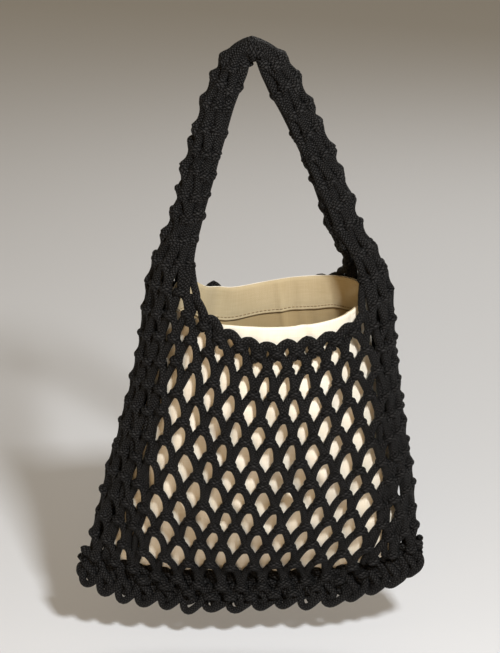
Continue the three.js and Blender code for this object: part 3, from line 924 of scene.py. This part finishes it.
# Cloth
def mouth_height(turn):
    """The mouth's edge: low at the front's middle, lifted at the back and in two waves there."""
    back = (1 - np.cos(turn)) / 2
    lifted = MOUTH_LIFT * ((1 + np.sin(turn)) / 2) ** 3.5 * back
    for at, wide, lift in MOUTH_WAVES:
        away = np.angle(np.exp(1j * (turn - math.radians(at))))
        lifted = lifted + lift * np.exp(-((away / math.radians(wide)) ** 2))
    return -MOUTH_DROP - MOUTH_DIP * ((1 + np.cos(turn)) / 2) ** 1.5 + lifted


def bottom_height(turn):
    """The pouch's bottom seam, which rises to its two corners."""
    return -BOTTOM_DROP + CORNER_RISE * np.abs(np.sin(turn)) ** 3


def fold_depth(turn, down):
    """How deep the long folds press the cloth in."""
    depth = np.zeros_like(turn)
    for at, wide, deep, low, high in FOLDS:
        away = np.angle(np.exp(1j * (turn - math.radians(at))))
        share = np.clip((down - low) / (high - low), 0, 1)
        depth += deep * np.exp(-((away / math.radians(wide)) ** 2)) * np.sin(share * math.pi)
    return depth * POUCH_DEPTH


WRINKLE_COUNT = 110
WRINKLE_SPAN = 260
WRINKLES = [
    {
        "along": RNG.uniform(-250, 250),
        "down": RNG.uniform(35, 235),
        "lean": RNG.normal(0, 0.5),
        "long": RNG.uniform(18, 60),
        "wide": RNG.uniform(2.8, 6.5),
        "deep": RNG.uniform(0.9, 2.8) * RNG.choice([-1, -1, 1]),
    }
    for _ in range(WRINKLE_COUNT)
]


def wrinkle_depth(turn, z):
    """Small creases of the hanging cloth, pressed in or standing out."""
    along = turn / math.pi * WRINKLE_SPAN
    down = -MOUTH_DROP - z
    depth = np.zeros_like(turn)
    for w in WRINKLES:
        dx = (along - w["along"] + WRINKLE_SPAN) % (2 * WRINKLE_SPAN) - WRINKLE_SPAN
        dz = down - w["down"]
        side = dx * math.cos(w["lean"]) - dz * math.sin(w["lean"])
        run = dx * math.sin(w["lean"]) + dz * math.cos(w["lean"])
        depth += w["deep"] * np.exp(-((side / w["wide"]) ** 2) - (run / w["long"]) ** 2)
    soft = 0.5 * np.sin(along * 0.11 + down * 0.05) + 0.4 * np.sin(along * 0.23 - down * 0.09 + 1.3)
    return np.clip(depth + soft * smooth(10, 50, down), -3.5, 2.0)


def canvas_point(turn, z, inset):
    """A place on the folded and creased cloth, inset millimetres within its outer side."""
    level = level_at(z)
    pressed = np.minimum(fold_depth(turn, level["down"]), level["depth"] / 2)
    wrinkled = wrinkle_depth(turn, z) * np.clip(level["depth"] / 20, 0, 1)
    x = level["centre"] + (level["width"] - inset + 0.3 * wrinkled) * np.sin(turn)
    y = -(level["depth"] - pressed - inset + wrinkled) * np.cos(turn)
    return np.stack([x, y, z], -1)


def grid_shape(shape, rings, uvs, zipped):
    """Quads between closed rings of equal counts. The end rings are each sewn flat, or else joined."""
    rows, count = rings.shape[:2]
    k, j = np.meshgrid(np.arange(rows - 1 if zipped else rows), np.arange(count), indexing="ij")
    nk, nj = (k + 1) % rows, (j + 1) % count
    quads = np.stack([k * count + j, k * count + nj, nk * count + nj, nk * count + j], -1).reshape(-1, 4)
    u = np.concatenate([uvs[..., 0], uvs[:, :1, 0] + (uvs[:, 1:2, 0] - uvs[:, :1, 0]) * count], axis=1)
    v = np.concatenate([uvs[..., 1], uvs[:, :1, 1]], axis=1)
    corners = [np.stack([u[a, b], v[a, b]], -1) for a, b in ((k, j), (k, j + 1), (nk, j + 1), (nk, j))]
    quad_uv = np.stack(corners, -2).reshape(-1, 4, 2)
    if zipped:
        a = np.arange(count // 2 - 1)
        strip = np.stack([a, count - 1 - a, count - 2 - a, a + 1], -1)
        quads = np.concatenate([quads, strip, strip[:, ::-1] + (rows - 1) * count])
        quad_uv = np.concatenate([quad_uv, np.zeros((2 * len(strip), 4, 2))])
    shape.add(rings, quads, quad_uv)


def ring_turns(count):
    """The turns of a ring's points, from the left end round the front."""
    return math.radians(-90) + (np.arange(count) + 0.5) / count * 2 * math.pi


def ring_texture(turns, along):
    """Texture coordinates in millimetres round a ring and along the cloth."""
    return np.stack([turns / math.pi * POUCH_WIDTH, np.broadcast_to(along, turns.shape)], -1)


def pouch_ring(turns, share, inset, lift):
    """A ring of the pouch's wall, a share of the way down, with its texture. The bottom is pinched flat."""
    z = mouth_height(turns) * (1 - share) + (bottom_height(turns) + lift) * share
    points = canvas_point(turns, z, inset)
    pinch = 1 - SEAM_PINCH * smooth(0.975, 1.0, share)
    if inset:
        points[:, 1] *= pinch - INNER_PINCH * smooth(0.9, 1.0, share)
        return points, ring_texture(turns, INNER_TEXTURE - z)
    points[:, 1] *= pinch
    return points, ring_texture(turns, -z)


def pouch_piece():
    """The pouch as one closed wall: up its outer side, over the mouth's edge and down its inner side."""
    turns = ring_turns(POUCH_COLUMNS)
    shares = np.linspace(1, 0, POUCH_ROWS)
    outer = [pouch_ring(turns, share, 0, 0) for share in shares]
    inner = [pouch_ring(turns, share, CANVAS_THICK, CANVAS_THICK * 1.5) for share in shares[::-1]]
    edge, texture = outer[-1]
    middle = (edge + inner[0][0]) / 2 + [0, 0, CANVAS_THICK * 0.35]
    rings, uvs = (np.array(column) for column in zip(*outer, (middle, texture), *inner))
    shape = Shape()
    grid_shape(shape, rings, uvs, zipped=True)
    return shape.build("canvas_pouch", CANVAS)


def facing_height(turns, row):
    """Heights on the facing, a share of its own height below the mouth, with its wavy lower edge."""
    wave = 0.5 * np.sin(turns * 7 + 1) + 0.35 * np.sin(turns * 15)
    return mouth_height(turns) - CLEARANCE - row * (FACING_HEIGHT + wave)


def facing_piece():
    """The wide band inside the mouth, as a closed strip round its cross-section."""
    turns = ring_turns(POUCH_COLUMNS)
    inset = CANVAS_THICK + CLEARANCE
    rings, uvs = [], []
    for row, inwards in FACING_OUTLINE:
        rings.append(canvas_point(turns, facing_height(turns, row), inset + inwards))
        uvs.append(ring_texture(turns, row * FACING_HEIGHT))
    shape = Shape()
    grid_shape(shape, np.array(rings), np.array(uvs), zipped=False)
    return shape.build("mouth_facing", FACING)


def stitches_piece():
    """Short stitches along the facing's lower edge, inside the pouch."""
    middle = (np.arange(STITCH_COUNT) + 0.5) / STITCH_COUNT * 2 * math.pi
    share = np.linspace(-STITCH_HALF, STITCH_HALF, STITCH_POINTS) * 2 * math.pi / STITCH_COUNT
    turns = middle[:, None] + share
    arch = 0.25 * np.cos(np.linspace(-1.5, 1.5, STITCH_POINTS))
    inset = CANVAS_THICK + CLEARANCE + 1.15 + arch
    paths = canvas_point(turns, facing_height(turns, STITCH_ROW), inset)
    shape = Shape()
    sweep(shape, paths, upright(paths), STITCH_RADIUS, STITCH_SIDES)
    return shape.build("facing_stitches", THREAD)


# Camera and stage, in metres
IMAGE_HEIGHT = 653
FOCAL_PIXELS = 2525
SENSOR_MM = 36
CAMERA_ELEVATION = math.radians(18)
CAMERA_DISTANCE = 2.2
CAMERA_TARGET = Vector((0.002, 0, -0.232))
FLOOR_SIDE = 20
FLOOR_HEIGHT = -0.53
FLOOR_COLOUR = (0.66, 0.68, 0.71, 1)
WORLD_COLOUR = (1.0, 0.8, 0.54, 1)
WORLD_STRENGTH = 0.26
# Each light's name, place, aim, size, watts and colour
LIGHTS = [
    ("key", (0.5, -1.4, 0.9), (0, 0, -0.3), 0.2, 47, (0.98, 0.99, 1.0)),
    ("fill", (-0.3, -2.0, 0.0), (0, 0, -0.35), 0.8, 12, (1.0, 0.66, 0.34)),
    ("rim", (0.6, 1.6, 1.0), (0, 0, -0.2), 0.9, 12, (1.0, 1.0, 1.0)),
]


def build_object():
    """All pieces of the bag, each with the node or nodes that it stands for."""
    rim = [h for h in range(-EDGE_COLUMN + 1, EDGE_COLUMN) if h % 2]
    front = net_piece("front_net", panel_knots(0), [(h, 0) for h in rim])
    back = net_piece("back_net", panel_knots(BACK_COLUMN), [(BACK_COLUMN + h, 0) for h in rim])
    left = net_piece("left_net", side_knots(-SIDE_COLUMN, 0, LAST_ROW), groups=mirrored(SIDE_STRANDS))
    right = net_piece("right_net", side_knots(SIDE_COLUMN, 0, LAST_ROW), groups=SIDE_STRANDS)
    legs = side_knots(-SIDE_COLUMN, -STRAP_ROWS, -1) + side_knots(SIDE_COLUMN, -STRAP_ROWS, -1)
    # The two legs meet in one row of knots at the top, which is wrapped once
    shared = side_knots(SIDE_COLUMN, -STRAP_ROWS, -STRAP_ROWS)
    edge_columns = (-FAR_EDGE_COLUMN, -EDGE_COLUMN, EDGE_COLUMN, FAR_EDGE_COLUMN)
    edges = [(h, row) for row in range(-STRAP_ROWS, 0, 2) for h in edge_columns]
    groups = STRAP_STRANDS + mirrored(STRAP_STRANDS)
    strap = net_piece("strap_net", legs, edge_knots=edges, no_wrap=shared, groups=groups)
    hem = hem_piece()
    pouch = pouch_piece()
    facing = facing_piece()
    stitches = stitches_piece()
    for piece, node, slot in (
        (front, "net_front", "cord"),
        (back, "net_back", "cord"),
        (left, "net_side_left", "cord"),
        (right, "net_side_right", "cord"),
        (strap, "strap", "cord"),
        (hem, "net_hem", "cord"),
        (pouch, "pouch_front", "canvas"),
        (facing, "facing", "facing_canvas"),
    ):
        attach(piece, "root")
        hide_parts(node)
    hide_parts("pouch_back")
    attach(stitches, "root")


def add_aimed(name, data, place, aim):
    """Adds a camera or a light at a place, turned towards its aim."""
    thing = bpy.data.objects.new(name, data)
    bpy.context.scene.collection.objects.link(thing)
    thing.location = place
    thing.rotation_mode = "QUATERNION"
    thing.rotation_quaternion = (Vector(aim) - Vector(place)).to_track_quat("-Z", "Y")
    return thing


def add_camera():
    data = bpy.data.cameras.new("camera")
    data.sensor_width = SENSOR_MM
    data.lens = SENSOR_MM * FOCAL_PIXELS / IMAGE_HEIGHT
    away = Vector((0, -math.cos(CAMERA_ELEVATION), math.sin(CAMERA_ELEVATION)))
    place = CAMERA_TARGET + CAMERA_DISTANCE * away
    bpy.context.scene.camera = add_aimed("camera", data, place, CAMERA_TARGET)


def add_light(name, place, aim, size, power, colour):
    data = bpy.data.lights.new(name, "AREA")
    data.size = size
    data.energy = power
    data.color = colour
    add_aimed(name, data, place, aim)


def add_floor():
    corners = [(x * FLOOR_SIDE, y * FLOOR_SIDE, 0) for x, y in ((-1, -1), (1, -1), (1, 1), (-1, 1))]
    mesh = bpy.data.meshes.new("floor")
    mesh.from_pydata(corners, [], [(0, 1, 2, 3)])
    floor = bpy.data.objects.new("floor", mesh)
    floor.location = (0, 0, FLOOR_HEIGHT)
    bpy.context.scene.collection.objects.link(floor)
    material = bpy.data.materials.new("floor")
    material.use_nodes = True
    shader = material.node_tree.nodes["Principled BSDF"]
    shader.inputs["Base Color"].default_value = FLOOR_COLOUR
    shader.inputs["Roughness"].default_value = 0.8
    mesh.materials.append(material)


def build_stage():
    """The pale floor, the world's soft light and the studio's lights."""
    add_floor()
    world = bpy.data.worlds.new("studio")
    world.use_nodes = True
    background = world.node_tree.nodes["Background"]
    background.inputs[0].default_value = WORLD_COLOUR
    background.inputs[1].default_value = WORLD_STRENGTH
    bpy.context.scene.world = world
    bpy.context.scene.view_settings.view_transform = "Standard"
    for light in LIGHTS:
        add_light(*light)


add_camera()
build_object()
build_stage()
